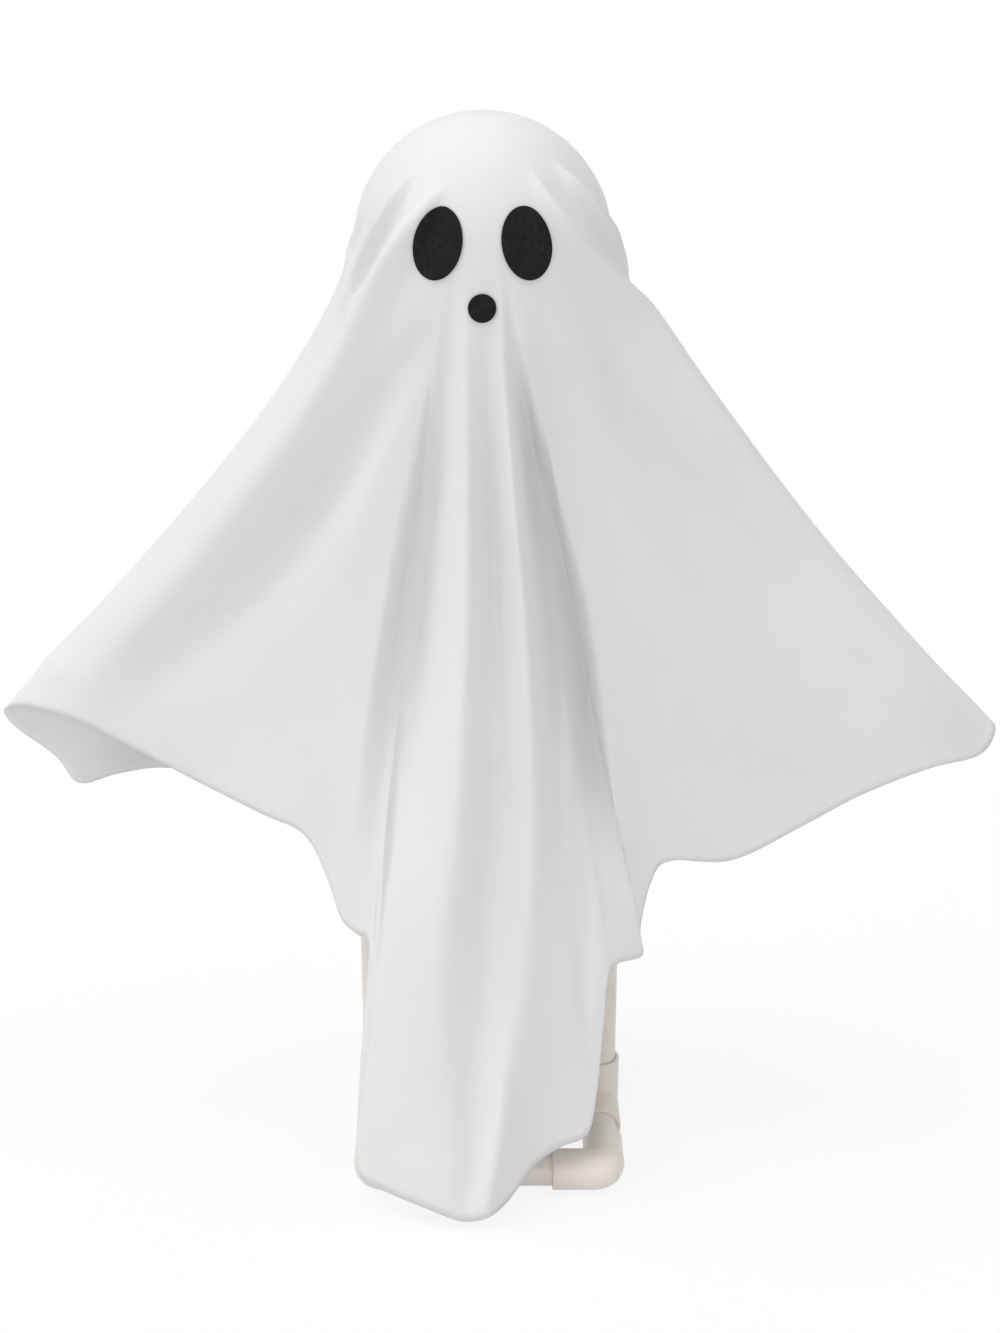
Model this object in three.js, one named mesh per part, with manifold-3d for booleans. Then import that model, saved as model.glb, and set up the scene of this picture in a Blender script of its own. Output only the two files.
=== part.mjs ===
// A draped sheet ghost: one cloth laid over a ball head and two sloping arms,
// on a push-fit PVC pipe stand, with felt eyes and a felt mouth.
// Millimetres, +Z up, front towards -Y, origin on the floor under the head.

import * as THREE from 'three';
import { mergeVertices } from 'three/addons/utils/BufferGeometryUtils.js';
import Module from 'manifold-3d';

const wasm = await Module();
wasm.setup();

// Pipe and fittings: three-quarter inch push-fit plumbing parts
const pipeRadius = 13.35;
const pipeBoreRadius = 10.45;
const fittingRadius = 16.65;
const socketDepth = 26;
const bendToStop = 17;          // centre of a tee or a square elbow to the pipe stop
const halfBendToStop = 8;       // the same in a half-square elbow
const rimChamfer = 1.2;
const capWall = 3.3;
const capDomeRise = 5;          // from the cap's side up to the middle of its domed end
const capDomeShoulder = 0.8;    // share of the radius where the dome turns down to the side
const capShoulderDrop = 1.5;
const fitGap = 0.3;             // between a pipe and the socket around it
const cutPast = 1;              // how far a cut runs out past the face that it opens
const roundSides = 24;

// Stand
const crossbarShow = 9;         // bare pipe between the neck tee and a shoulder tee, were it in the middle
const baseHalfDepth = 105;      // centre line of the front and back rails
const crossbarHeight = 568;
const nippleShow = 6;           // bare pipe between a shoulder tee and its arm elbow
const armSlope = Math.PI / 4;
const armPipeShow = 160;        // bare pipe between an arm elbow and its cap

// Head
const ballRadius = 92;
const ballRise = 185;           // middle of the ball above the crossbar
const headShift = -3.5;         // the neck tee and the ball sit a little left of the middle
const ballBoreDepth = 80;
const ballSides = 32;
const ballRings = 20;

// Sheet
const sheetThickness = 2;
const ballClearance = 2.0;      // room for the facets of the ball and of the cloth on it
const ridgeSag = 0.42;          // how far the hanging cloth hollows below the head
const ridgeSagPower = 1.5;      // the higher, the nearer to the head the hollow lies
const foldFoot = 1.6;           // where a fold runs out, in its half widths
const headRings = 5;
const skirtRings = 4;
const columnsPerStation = 2;
const tailLead = 3.5;           // the least room between the front rail's fittings and the tail
const tableUnit = 1;            // one unit of the hem's and the folds' tables

// Felt face
const feltThickness = 1.2;
const feltGap = 0.35;
const eyeWidth = 35;
const eyeHeight = 50.5;
const eyeSpacing = 62;          // between the middles of the eyes
const eyeLift = 14.5;           // middle of the eyes above the middle of the ball
const eyeLean = THREE.MathUtils.degToRad(8);
const mouthWidth = 20.6;
const mouthDrop = 30;           // middle of the mouth below the middle of the ball

// Worked out
const bendToEnd = bendToStop + socketDepth;
const halfBendToEnd = halfBendToStop + socketDepth;
const baseHalfWidth = 2 * bendToEnd + crossbarShow;   // centre line of the uprights and of the side rails
const ballCentreHeight = crossbarHeight + ballRise;
const apothem = Math.cos(Math.PI / roundSides);
const railHeight = fittingRadius * apothem;
const armElbowX = baseHalfWidth + bendToEnd + nippleShow + halfBendToEnd;
const armDirection = new THREE.Vector3(Math.cos(armSlope), 0, -Math.sin(armSlope));
const capMouth = halfBendToEnd + armPipeShow;
const capX = armElbowX + (capMouth + socketDepth) * armDirection.x;
const capZ = crossbarHeight + (capMouth + socketDepth) * armDirection.z;
const sheetRadius = ballRadius + ballClearance + sheetThickness;
const frontY = baseHalfDepth + fittingRadius + tailLead;

const pvc = { color: 0xded3ca, roughness: 0.35, metalness: 0 };
const cloth = { color: 0xeceaee, roughness: 0.95, metalness: 0 };
const felt = { color: 0x060607, roughness: 0.95, metalness: 0 };
const foam = { color: 0xf4f3ef, roughness: 0.85, metalness: 0 };

// Solids

function solidOf(geometry) {
  const bare = geometry.index ? geometry.toNonIndexed() : geometry.clone();
  bare.deleteAttribute('normal');
  bare.deleteAttribute('uv');
  const merged = mergeVertices(bare, 1e-4);
  return new wasm.Manifold(new wasm.Mesh({
    numProp: 3,
    vertProperties: new Float32Array(merged.attributes.position.array),
    triVerts: new Uint32Array(merged.index.array),
  }));
}

function geometryOf(solid) {
  const mesh = solid.getMesh();
  const geometry = new THREE.BufferGeometry();
  geometry.setAttribute('position', new THREE.BufferAttribute(new Float32Array(mesh.vertProperties), 3));
  geometry.setIndex(new THREE.BufferAttribute(new Uint32Array(mesh.triVerts), 1));
  geometry.computeVertexNormals();
  return geometry;
}

const group = new THREE.Group();

function addPiece(name, geometry, finish, parent = group) {
  const mesh = new THREE.Mesh(geometry, new THREE.MeshStandardMaterial(finish));
  mesh.name = name;
  parent.add(mesh);
  return mesh;
}

// A round shape turned about Z from a closed profile, with one facet square to -X and -Y
function turned(profile, sides = roundSides) {
  const points = profile.map(([r, z]) => new THREE.Vector2(r, z));
  const geometry = new THREE.LatheGeometry([...points, points[0]], sides, Math.PI / sides);
  geometry.rotateX(Math.PI / 2);
  return geometry;
}

// Pipes

function tube(length) {
  return turned([
    [pipeBoreRadius, 0],
    [pipeRadius, 0],
    [pipeRadius, length],
    [pipeBoreRadius, length],
  ]);
}

const zAxis = new THREE.Vector3(0, 0, 1);

// A pipe from one fitting's stop to the next, between two fitting centres
function addPipe(name, from, to, stopFrom, stopTo) {
  const along = to.clone().sub(from).normalize();
  const start = from.clone().addScaledVector(along, stopFrom + fitGap);
  const length = from.distanceTo(to) - stopFrom - stopTo - 2 * fitGap;
  const pipe = addPiece(name, tube(length), pvc);
  pipe.position.copy(start);
  pipe.quaternion.setFromUnitVectors(zAxis, along);
}

// Fittings

function hubOutside(reach, start) {
  return turned([
    [0, start],
    [fittingRadius, start],
    [fittingRadius, reach - rimChamfer],
    [fittingRadius - rimChamfer, reach],
    [0, reach],
  ]);
}

function hubInside(stop, reach, start) {
  const socketRadius = pipeRadius + fitGap;
  return turned([
    [0, start],
    [pipeBoreRadius, start],
    [pipeBoreRadius, stop],
    [socketRadius, stop],
    [socketRadius, reach + cutPast],
    [0, reach + cutPast],
  ]);
}

// The rounded outside of a bend: the hubs' own section turned about the bend's axis
function corner(radius, axis) {
  const profile = [[0, -radius * apothem]];
  for (let i = 0; i < roundSides / 2; i += 1) {
    const angle = ((i + 0.5) / roundSides) * 2 * Math.PI;
    profile.push([radius * Math.sin(angle), -radius * Math.cos(angle)]);
  }
  profile.push([0, radius * apothem]);
  const points = profile.map(([r, z]) => new THREE.Vector2(r, z));
  const geometry = new THREE.LatheGeometry(points, roundSides);
  geometry.rotateX(Math.PI / 2);
  return geometry.applyQuaternion(new THREE.Quaternion().setFromUnitVectors(zAxis, axis));
}

// One fitting from its hubs, each given by the way it points. A bend has a rounded corner,
// and the hubs of a tee's straight run start past its middle, so that they join up.
function fitting(directions, stop) {
  const reach = stop + socketDepth;
  const straightRun = directions[0].dot(directions[1]) < -0.999;
  let body = null;
  let bore = null;
  const join = (whole, piece) => (whole ? whole.add(piece) : piece);
  directions.forEach((way, i) => {
    const turn = new THREE.Quaternion().setFromUnitVectors(zAxis, way);
    const start = straightRun && i < 2 ? -stop / 2 : 0;
    body = join(body, solidOf(hubOutside(reach, start).applyQuaternion(turn)));
    bore = join(bore, solidOf(hubInside(stop, reach, start).applyQuaternion(turn)));
  });
  if (!straightRun) {
    const axis = directions[0].clone().cross(directions[1]).normalize();
    body = body.add(solidOf(corner(fittingRadius, axis)));
    bore = bore.add(solidOf(corner(pipeBoreRadius, axis)));
  }
  return geometryOf(body.subtract(bore));
}

const right = new THREE.Vector3(1, 0, 0);
const left = new THREE.Vector3(-1, 0, 0);
const back = new THREE.Vector3(0, 1, 0);
const front = new THREE.Vector3(0, -1, 0);
const up = new THREE.Vector3(0, 0, 1);
const down = new THREE.Vector3(0, 0, -1);

function addFitting(name, place, directions, stop = bendToStop) {
  addPiece(name, fitting(directions, stop), pvc).position.copy(place);
}

// Base: a rectangle of rails, with a tee in the middle of each side

const at = (x, y, z) => new THREE.Vector3(x, y, z);

for (const [word, side, inward] of [['left', -1, right], ['right', 1, left]]) {
  const x = side * baseHalfWidth;
  const tee = at(x, 0, railHeight);
  const frontElbow = at(x, -baseHalfDepth, railHeight);
  const backElbow = at(x, baseHalfDepth, railHeight);
  addFitting(`base_tee_${word}`, tee, [front, back, up]);
  addFitting(`base_elbow_front_${word}`, frontElbow, [back, inward]);
  addFitting(`base_elbow_back_${word}`, backElbow, [front, inward]);
  addPipe(`base_side_pipe_front_${word}`, tee, frontElbow, bendToStop, bendToStop);
  addPipe(`base_side_pipe_back_${word}`, tee, backElbow, bendToStop, bendToStop);
}
for (const [word, side] of [['front', -1], ['back', 1]]) {
  const y = side * baseHalfDepth;
  const from = at(-baseHalfWidth, y, railHeight);
  const to = at(baseHalfWidth, y, railHeight);
  addPipe(`base_${word}_pipe`, from, to, bendToStop, bendToStop);
}

// Uprights, crossbar and arms

const neckTee = at(headShift, 0, crossbarHeight);
addFitting('neck_tee', neckTee, [left, right, up]);

function capGeometry() {
  const socketRadius = pipeRadius + fitGap;
  const shoulder = socketDepth + capWall;
  return turned([
    [socketRadius, 0],
    [fittingRadius - rimChamfer, 0],
    [fittingRadius, rimChamfer],
    [fittingRadius, shoulder - capDomeRise],
    [fittingRadius * capDomeShoulder, shoulder - capShoulderDrop],
    [0, shoulder],
    [0, socketDepth],
    [socketRadius, socketDepth],
  ]);
}

for (const [word, side, inward, outward] of [['left', -1, right, left], ['right', 1, left, right]]) {
  const foot = at(side * baseHalfWidth, 0, railHeight);
  const shoulder = at(side * baseHalfWidth, 0, crossbarHeight);
  const elbow = at(side * armElbowX, 0, crossbarHeight);
  const slope = armDirection.clone().multiply(at(side, 1, 1));
  const capStop = elbow.clone().addScaledVector(slope, capMouth + socketDepth);
  addPipe(`upright_pipe_${word}`, foot, shoulder, bendToStop, bendToStop);
  addFitting(`shoulder_tee_${word}`, shoulder, [inward, outward, down]);
  addPipe(`crossbar_pipe_${word}`, neckTee, shoulder, bendToStop, bendToStop);
  addPipe(`shoulder_nipple_${word}`, shoulder, elbow, bendToStop, halfBendToStop);
  addFitting(`arm_elbow_${word}`, elbow, [inward, slope], halfBendToStop);
  addPipe(`arm_pipe_${word}`, elbow, capStop, halfBendToStop, 0);
  const cap = addPiece(`arm_cap_${word}`, capGeometry(), pvc);
  cap.position.copy(elbow).addScaledVector(slope, capMouth);
  cap.quaternion.setFromUnitVectors(zAxis, slope);
}

// Head: a foam ball pushed onto the neck pipe

const ballCentre = at(headShift, 0, ballCentreHeight);
const boreTop = -ballRadius + ballBoreDepth;
const ballTop = at(headShift, 0, ballCentreHeight + boreTop);
addPipe('neck_pipe', neckTee, ballTop, bendToStop, 0);

function ballGeometry() {
  const ball = new THREE.SphereGeometry(ballRadius, ballSides, ballRings);
  ball.rotateX(Math.PI / 2);
  const boreRadius = pipeRadius + fitGap;
  const boreLength = ballBoreDepth + cutPast;
  const bore = new THREE.CylinderGeometry(boreRadius, boreRadius, boreLength, roundSides);
  bore.rotateX(Math.PI / 2);
  bore.translate(0, 0, boreTop - boreLength / 2);
  return geometryOf(solidOf(ball).subtract(solidOf(bore)));
}
addPiece('head_ball', ballGeometry(), foam).position.copy(ballCentre);

// Sheet: the cloth follows the ball to its widest ring and hangs from there to the hem.
// A station of the hem says where the cloth leaves the ball (degrees about Z from +X)
// and where its edge hangs, as so many units out, across and down from the stand.

const stepped = (place, sign, units) => place + sign * tableUnit * units;
const besideArm = (side, out, y, drop) => [
  side * stepped(capX, 1, out), stepped(0, 1, y), stepped(capZ, -1, drop),
];
const besideLeg = (side, out, y, drop) => [
  side * stepped(baseHalfWidth, 1, out), stepped(0, 1, y), stepped(crossbarHeight, -1, drop),
];
const ontoFloor = (x, behind, z) => [stepped(0, 1, x), stepped(-frontY, 1, behind), stepped(0, 1, z)];
const ontoFloorBehind = (x, before, z) => [stepped(0, 1, x), stepped(frontY, -1, before), stepped(0, 1, z)];

const hemStations = [
  [-22, besideArm(1, 75, 12, 45)],          // right tip
  [-38, besideArm(1, 48, -27, 64)],
  [-52, besideLeg(1, 150, -54, 272)],
  [-61, besideLeg(1, 90, -62, 298)],        // right lobe
  [-66, besideLeg(1, 44, -66, 294)],
  [-69.5, besideLeg(1, 24, -82, 344)],
  [-72, besideLeg(1, 21, -88, 363)],        // right lower corner
  [-75.5, besideLeg(1, 0, -106, 372)],
  [-78, ontoFloor(88, 2, 110)],             // right edge of the tail
  [-80, ontoFloor(79, -7, 63)],
  [-84.5, ontoFloor(40, -18, 50)],
  [-92.5, ontoFloor(-14, -41, 4)],          // lowest point of the tail
  [-101, ontoFloor(-73, -17, 9)],
  [-106, ontoFloor(-101, -4, 28)],          // left edge of the tail
  [-109.5, besideLeg(-1, -8, -106, 368)],
  [-114, besideLeg(-1, 14, -92, 342)],      // left lower corner
  [-120, besideLeg(-1, 46, -77, 270)],
  [-132, besideLeg(-1, 162, -44, 222)],
  [-144, besideArm(-1, 22, -31, 24)],
  [-154, besideArm(-1, 42, -9, 12)],        // left tip, over the arm
  [-166, besideArm(-1, 65, 22, 32)],        // the cloth's left corner
  [-184, besideArm(-1, 34, 38, 60)],
  [-196, besideArm(-1, 6, 44, 104)],
  [-206, besideLeg(-1, 145, 56, 268)],
  [-218, besideLeg(-1, 45, 75, 338)],
  [-232, ontoFloorBehind(-95, 10, 80)],
  [-251, ontoFloorBehind(-60, -25, 22)],
  [-270, ontoFloorBehind(10, -35, 12)],     // back tail
  [-290, ontoFloorBehind(75, -17, 40)],
  [-306, besideLeg(1, 5, 108, 418)],
  [-321, besideLeg(1, 55, 76, 313)],
  [-335, besideLeg(1, 155, 58, 276)],
  [-347, besideArm(1, 11, 46, 93)],
  [-361, besideArm(1, 46, 38, 56)],
];

// Main folds: degrees about Z where each starts at the ball, half way and at the hem,
// its half width in degrees, and how many units it stands out (or, below zero, lies in)
const folds = [
  [[-99.5, -100.5, -96], 6.5, 12],
  [[-92, -92, -91.5], 3.5, -5],
  [[-85, -86, -85.5], 5, 12],
  [[-76.5, -71, -70.5], 4.5, -14],
  [[-62, -62, -62], 8, 10],
  [[-109, -116, -111], 5, -14],
  [[-134, -139, -137], 6, -8],
  [[-176, -182, -188], 9, 12],
  [[-205, -210, -212], 8, -14],
  [[-232, -238, -240], 10, 14],
  [[-262, -262, -262], 7, -10],
  [[-284, -286, -286], 9, 12],
  [[-318, -316, -314], 8, -14],
  [[-345, -342, -340], 9, 12],
];

const stationCount = hemStations.length;

// A smooth closed run through one value of each station
function throughStations(valueOf, u) {
  const i = Math.floor(u);
  const f = u - i;
  const [a, b, c, d] = [-1, 0, 1, 2].map((step) => valueOf(i + step));
  return 0.5 * (2 * b + (c - a) * f + (2 * a - 5 * b + 4 * c - d) * f * f
    + (3 * b - a - 3 * c + d) * f * f * f);
}

function wrapped(index) {
  return ((index % stationCount) + stationCount) % stationCount;
}

function headAngle(u) {
  return throughStations((i) => hemStations[wrapped(i)][0] - 360 * Math.floor(i / stationCount), u);
}

function hemPoint(u) {
  const [x, y, z] = [0, 1, 2].map((k) => throughStations((i) => hemStations[wrapped(i)][1][k], u));
  return at(x, y, z);
}

// The level direction square to the run of the hem, away from the stand
function squareToHem(u) {
  const along = hemPoint(u + 1).sub(hemPoint(u - 1));
  return at(-along.y, along.x, 0).normalize().negate();
}

// How far the folds push the cloth out at one angle, a share of the way down
function foldPush(angle, drop) {
  let push = 0;
  for (const [[top, middle, hem], halfWidth, depth] of folds) {
    const bow = 4 * drop * (1 - drop);
    const line = top + (hem - top) * drop + (middle - (top + hem) / 2) * bow;
    const turns = Math.round((angle - line) / 360);
    const off = Math.abs(angle - line - 360 * turns) / (foldFoot * halfWidth);
    if (off < 1) push += tableUnit * depth * drop * Math.cos(off * Math.PI / 2) ** 2;
  }
  return push;
}

// One point of the cloth's outer face: round the sheet by u, down it by ring
function clothPoint(u, ring) {
  const angle = THREE.MathUtils.degToRad(headAngle(u));
  const outward = at(Math.cos(angle), Math.sin(angle), 0);
  if (ring <= headRings) {
    const tilt = (ring / headRings) * Math.PI / 2;
    return ballCentre.clone()
      .addScaledVector(outward, sheetRadius * Math.sin(tilt))
      .addScaledVector(zAxis, sheetRadius * Math.cos(tilt));
  }
  const drop = (ring - headRings) / skirtRings;
  const spread = drop - ridgeSag * drop * (1 - drop) ** ridgeSagPower;
  const top = ballCentre.clone().addScaledVector(outward, sheetRadius);
  const hem = hemPoint(u);
  const point = at(
    THREE.MathUtils.lerp(top.x, hem.x, spread),
    THREE.MathUtils.lerp(top.y, hem.y, spread),
    THREE.MathUtils.lerp(top.z, hem.z, drop),
  );
  return point.addScaledVector(squareToHem(u), foldPush(headAngle(u), drop));
}

const columns = stationCount * columnsPerStation;
const rings = headRings + skirtRings;

// The cloth's outer face as an open surface: the crown first, then ring after ring
function clothSurface() {
  const positions = [...ballCentre.clone().addScaledVector(zAxis, sheetRadius).toArray()];
  for (let ring = 1; ring <= rings; ring += 1) {
    for (let column = 0; column < columns; column += 1) {
      positions.push(...clothPoint(column / columnsPerStation, ring).toArray());
    }
  }
  const faces = [];
  const vertex = (ring, column) => 1 + (ring - 1) * columns + (column % columns);
  for (let column = 0; column < columns; column += 1) {
    faces.push(0, vertex(1, column + 1), vertex(1, column));
    for (let ring = 1; ring < rings; ring += 1) {
      const [a, b] = [vertex(ring, column), vertex(ring, column + 1)];
      const [c, d] = [vertex(ring + 1, column), vertex(ring + 1, column + 1)];
      faces.push(a, b, d, a, d, c);
    }
  }
  const geometry = new THREE.BufferGeometry();
  geometry.setAttribute('position', new THREE.Float32BufferAttribute(positions, 3));
  geometry.setIndex(faces);
  geometry.computeVertexNormals();
  return geometry;
}

const surface = clothSurface();

// A closed layer between two distances outside the cloth's outer face
function clothLayer(outer, inner) {
  const place = surface.attributes.position;
  const normal = surface.attributes.normal;
  const count = place.count;
  const positions = [];
  for (const away of [outer, inner]) {
    for (let i = 0; i < count; i += 1) {
      positions.push(
        place.getX(i) + away * normal.getX(i),
        place.getY(i) + away * normal.getY(i),
        place.getZ(i) + away * normal.getZ(i),
      );
    }
  }
  const faces = [];
  const index = surface.index.array;
  for (let i = 0; i < index.length; i += 3) {
    const [a, b, c] = [index[i], index[i + 1], index[i + 2]];
    faces.push(a, b, c, count + a, count + c, count + b);
  }
  const lastRing = 1 + (rings - 1) * columns;
  for (let column = 0; column < columns; column += 1) {
    const a = lastRing + column;
    const b = lastRing + ((column + 1) % columns);
    faces.push(a, b, count + b, a, count + b, count + a);
  }
  const geometry = new THREE.BufferGeometry();
  geometry.setAttribute('position', new THREE.Float32BufferAttribute(positions, 3));
  geometry.setIndex(faces);
  return geometry;
}

addPiece('sheet', clothLayer(0, -sheetThickness), cloth);

// Felt face: flat felt shapes that lie on the cloth, cut from a layer just off it

const feltLayer = solidOf(clothLayer(feltGap + feltThickness, feltGap));

function feltPiece(width, height, x, z, lean) {
  const outline = new THREE.Shape();
  outline.absellipse(0, 0, width / 2, height / 2, 0, 2 * Math.PI, false, lean);
  const punch = new THREE.ExtrudeGeometry(outline, {
    depth: 2 * sheetRadius,
    bevelEnabled: false,
    curveSegments: roundSides / 2,
  });
  punch.rotateX(Math.PI / 2);
  punch.translate(x, 0, z);
  return geometryOf(feltLayer.intersect(solidOf(punch)));
}

const eyeZ = ballCentreHeight + eyeLift;
const mouthZ = ballCentreHeight - mouthDrop;
addPiece('left_eye', feltPiece(eyeWidth, eyeHeight, headShift - eyeSpacing / 2, eyeZ, -eyeLean), felt);
addPiece('right_eye', feltPiece(eyeWidth, eyeHeight, headShift + eyeSpacing / 2, eyeZ, eyeLean), felt);
addPiece('mouth', feltPiece(mouthWidth, mouthWidth, headShift, mouthZ, 0), felt);

export default group;
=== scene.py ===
import math

import bmesh
import bpy
import numpy as np
from mathutils import Matrix, Vector
from mathutils.bvhtree import BVHTree


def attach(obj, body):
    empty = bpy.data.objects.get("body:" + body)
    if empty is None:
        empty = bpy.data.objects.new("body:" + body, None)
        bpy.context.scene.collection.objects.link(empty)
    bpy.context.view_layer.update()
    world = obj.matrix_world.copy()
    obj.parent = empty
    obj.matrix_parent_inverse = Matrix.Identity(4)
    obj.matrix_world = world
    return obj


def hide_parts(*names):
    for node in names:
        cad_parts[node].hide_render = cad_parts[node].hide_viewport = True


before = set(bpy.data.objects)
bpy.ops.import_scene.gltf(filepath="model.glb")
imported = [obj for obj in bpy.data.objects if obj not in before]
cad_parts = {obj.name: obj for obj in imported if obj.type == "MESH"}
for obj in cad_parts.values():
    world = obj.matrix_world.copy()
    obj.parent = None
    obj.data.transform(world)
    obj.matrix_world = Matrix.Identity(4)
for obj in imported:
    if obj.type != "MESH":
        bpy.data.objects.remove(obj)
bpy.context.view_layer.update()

# Camera, floor and light

view = {
    "eye": (0.009, -1.5, 0.979),
    "pitch": 20.5,              # degrees below level
    "lens": 54.01,
    "sensor": 36,               # height of the picture in the camera, in millimetres
    "clipEnd": 60,
}


def addCamera():
    camera = bpy.data.objects.new("camera", bpy.data.cameras.new("camera"))
    bpy.context.scene.collection.objects.link(camera)
    camera.data.sensor_fit = "VERTICAL"
    camera.data.sensor_height = view["sensor"]
    camera.data.lens = view["lens"]
    camera.data.clip_end = view["clipEnd"]
    camera.location = view["eye"]
    camera.rotation_euler = (math.radians(90 - view["pitch"]), 0, 0)
    bpy.context.scene.camera = camera
    bpy.context.scene.view_settings.view_transform = "Standard"


addCamera()


class Shade:                                    # the output of a material's node, with arithmetic
    def __init__(self, tree, out=None):
        self.tree = tree
        self.out = out

    def node(self, kind, settings=None, inputs=None, output=0):
        made = self.tree.nodes.new("ShaderNode" + kind)
        for name, value in (settings or {}).items():
            setattr(made, name, value)
        for name, value in (inputs or {}).items():
            if isinstance(value, Shade):
                self.tree.links.new(value.out, made.inputs[name])
            else:
                made.inputs[name].default_value = value
        return Shade(self.tree, made.outputs[output] if made.outputs else None)

    def maths(self, operation, *others):
        return self.node("Math", {"operation": operation}, dict(enumerate((self, *others))))

    def __add__(self, other):
        return self.maths("ADD", other)

    def __sub__(self, other):
        return self.maths("SUBTRACT", other)

    def __rsub__(self, other):
        return self.node("Math", {"operation": "SUBTRACT"}, {0: other, 1: self})

    def __mul__(self, other):
        return self.maths("MULTIPLY", other)

    def __truediv__(self, other):
        return self.maths("DIVIDE", other)

    def __pow__(self, other):
        return self.maths("POWER", other)

    __radd__ = __add__
    __rmul__ = __mul__

    def wave(self):                             # 0 to 1 and back, once for each whole step
        return 0.5 + 0.5 * (self * (2 * math.pi)).maths("COSINE")

    def between(self, low, high):               # 0 below low, 1 above high, smooth between
        return self.node("MapRange", {"interpolation_type": "SMOOTHSTEP"},
                         {"Value": self, "From Min": low, "From Max": high})

    def seen(self):                             # 1 for what the camera sees, also mirrored
        camera, glossy, through = (self.node("LightPath", None, None, way) for way in (0, 3, 6))
        return (camera + glossy + through).maths("MINIMUM", 1.0)

    def mixed(self, first, second):             # two colours, this being the share of the second
        return self.node("Mix", {"data_type": "RGBA"}, {0: self, 6: first, 7: second}, 2)

    def bump(self, strength, distance):         # the normal that this as a height gives
        return self.node("Bump", None, {"Strength": strength, "Distance": distance, "Height": self})

    def noise(self, scale, detail, roughness=0.5, distortion=0.0):      # this being the place
        return self.node("TexNoise", None, {
            "Vector": self, "Scale": scale, "Detail": detail, "Roughness": roughness,
            "Distortion": distortion,
        })


def newMaterial(name):
    material = bpy.data.materials.new(name)
    material.use_nodes = True
    material.node_tree.nodes.clear()
    return material, Shade(material.node_tree)


def finishMaterial(surface, kind="Material"):
    surface.node("Output" + kind, None, {"Surface": surface})


def colour(red, green, blue):
    return (red, green, blue, 1.0)


ground = {
    "radius": 12.0,
    "sides": 96,
    "below": 0.0004,            # how far it lies under the object's feet
    "fadeFrom": 0.75,           # the floor turns plain white from here on
    "fadeTo": 1.6,
    "white": 0.86,              # share of plain white in the floor near the object
    "grain": 40.0,
    "dim": colour(0.905, 0.905, 0.905),
    "pale": colour(0.93, 0.93, 0.93),
    "bounce": colour(0.8, 0.8, 0.8),
}


def addFloor():
    material, start = newMaterial("paleFloor")
    place = start.node("TexCoord", None, None, 3)
    distance = place.node("VectorMath", {"operation": "LENGTH"}, {0: place}, 1)
    away = distance.between(ground["fadeFrom"], ground["fadeTo"])
    paper = place.noise(ground["grain"], 3.0).mixed(ground["dim"], ground["pale"])
    matt = start.node("BsdfDiffuse", None, {"Color": start.seen().mixed(ground["bounce"], paper)})
    white = start.node("Emission", None, {"Color": colour(1, 1, 1), "Strength": 1.0})
    share = ground["white"] + away * (1 - ground["white"])
    finishMaterial(start.node("MixShader", None, {0: share * start.seen(), 1: matt, 2: white}))
    shape = bmesh.new()
    bmesh.ops.create_circle(shape, cap_ends=True, segments=ground["sides"], radius=ground["radius"])
    bmesh.ops.translate(shape, vec=(0, 0, -ground["below"]), verts=shape.verts)
    mesh = bpy.data.meshes.new("floor")
    shape.to_mesh(mesh)
    shape.free()
    mesh.materials.append(material)
    floor = bpy.data.objects.new("floor", mesh)
    bpy.context.scene.collection.objects.link(floor)


light = {
    "around": 0.215,            # strength of the world's light
    "spread": 40.0,             # degrees across each soft sun
    "suns": [                   # azimuth and height in degrees, and strength
        (-135, 20, 0.50), (-90, 15, 0.39), (-45, 20, 0.30), (-175, 50, 1.15),
        (-90, 80, 0.80), (-5, 50, 0.38), (90, 50, 0.45),
    ],
}


def addLight():
    world = bpy.data.worlds.new("studio")
    bpy.context.scene.world = world
    world.use_nodes = True
    world.node_tree.nodes.clear()
    shown = Shade(world.node_tree).seen()
    strength = light["around"] * (1.0 - shown) + shown
    white = {"Color": colour(1, 1, 1), "Strength": strength}
    finishMaterial(shown.node("Background", None, white), "World")
    for number, (azimuth, height, power) in enumerate(light["suns"], 1):
        lamp = bpy.data.lights.new(f"sun{number}", "SUN")
        lamp.angle = math.radians(light["spread"])
        lamp.energy = power
        sun = bpy.data.objects.new(f"sun{number}", lamp)
        sun.rotation_euler = (math.radians(90 - height), 0, math.radians(azimuth + 90))
        bpy.context.scene.collection.objects.link(sun)


addFloor()
addLight()
print("stage done")

# Materials

weave = {
    # lit and shaded: two tones of the white jersey, mixed mostly by random cloud and fuzz, which
    # are the cloth's own tone, and partly by the knit's relief, which is painted shade in the
    # grooves between stitches
    "lit": colour(0.808, 0.798, 0.811),
    "shaded": colour(0.774, 0.763, 0.776),
    "wale": 0.0012,             # width of one column of stitches
    "course": 0.0009,           # height of one row of them
    "legRows": 0.6,             # a stitch's leg runs down over this many rows
    "stitchShare": 0.55,        # of the knit's relief
    "fuzz": 900.0,
    "cloud": 7.0,               # scale of the wide, faint changes of tone
    "toneRange": (0.25, 0.75),
    "bump": 0.22,
    "depth": 0.00012,
    "roughness": 0.92,
    "sheen": 0.25,
}


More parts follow.
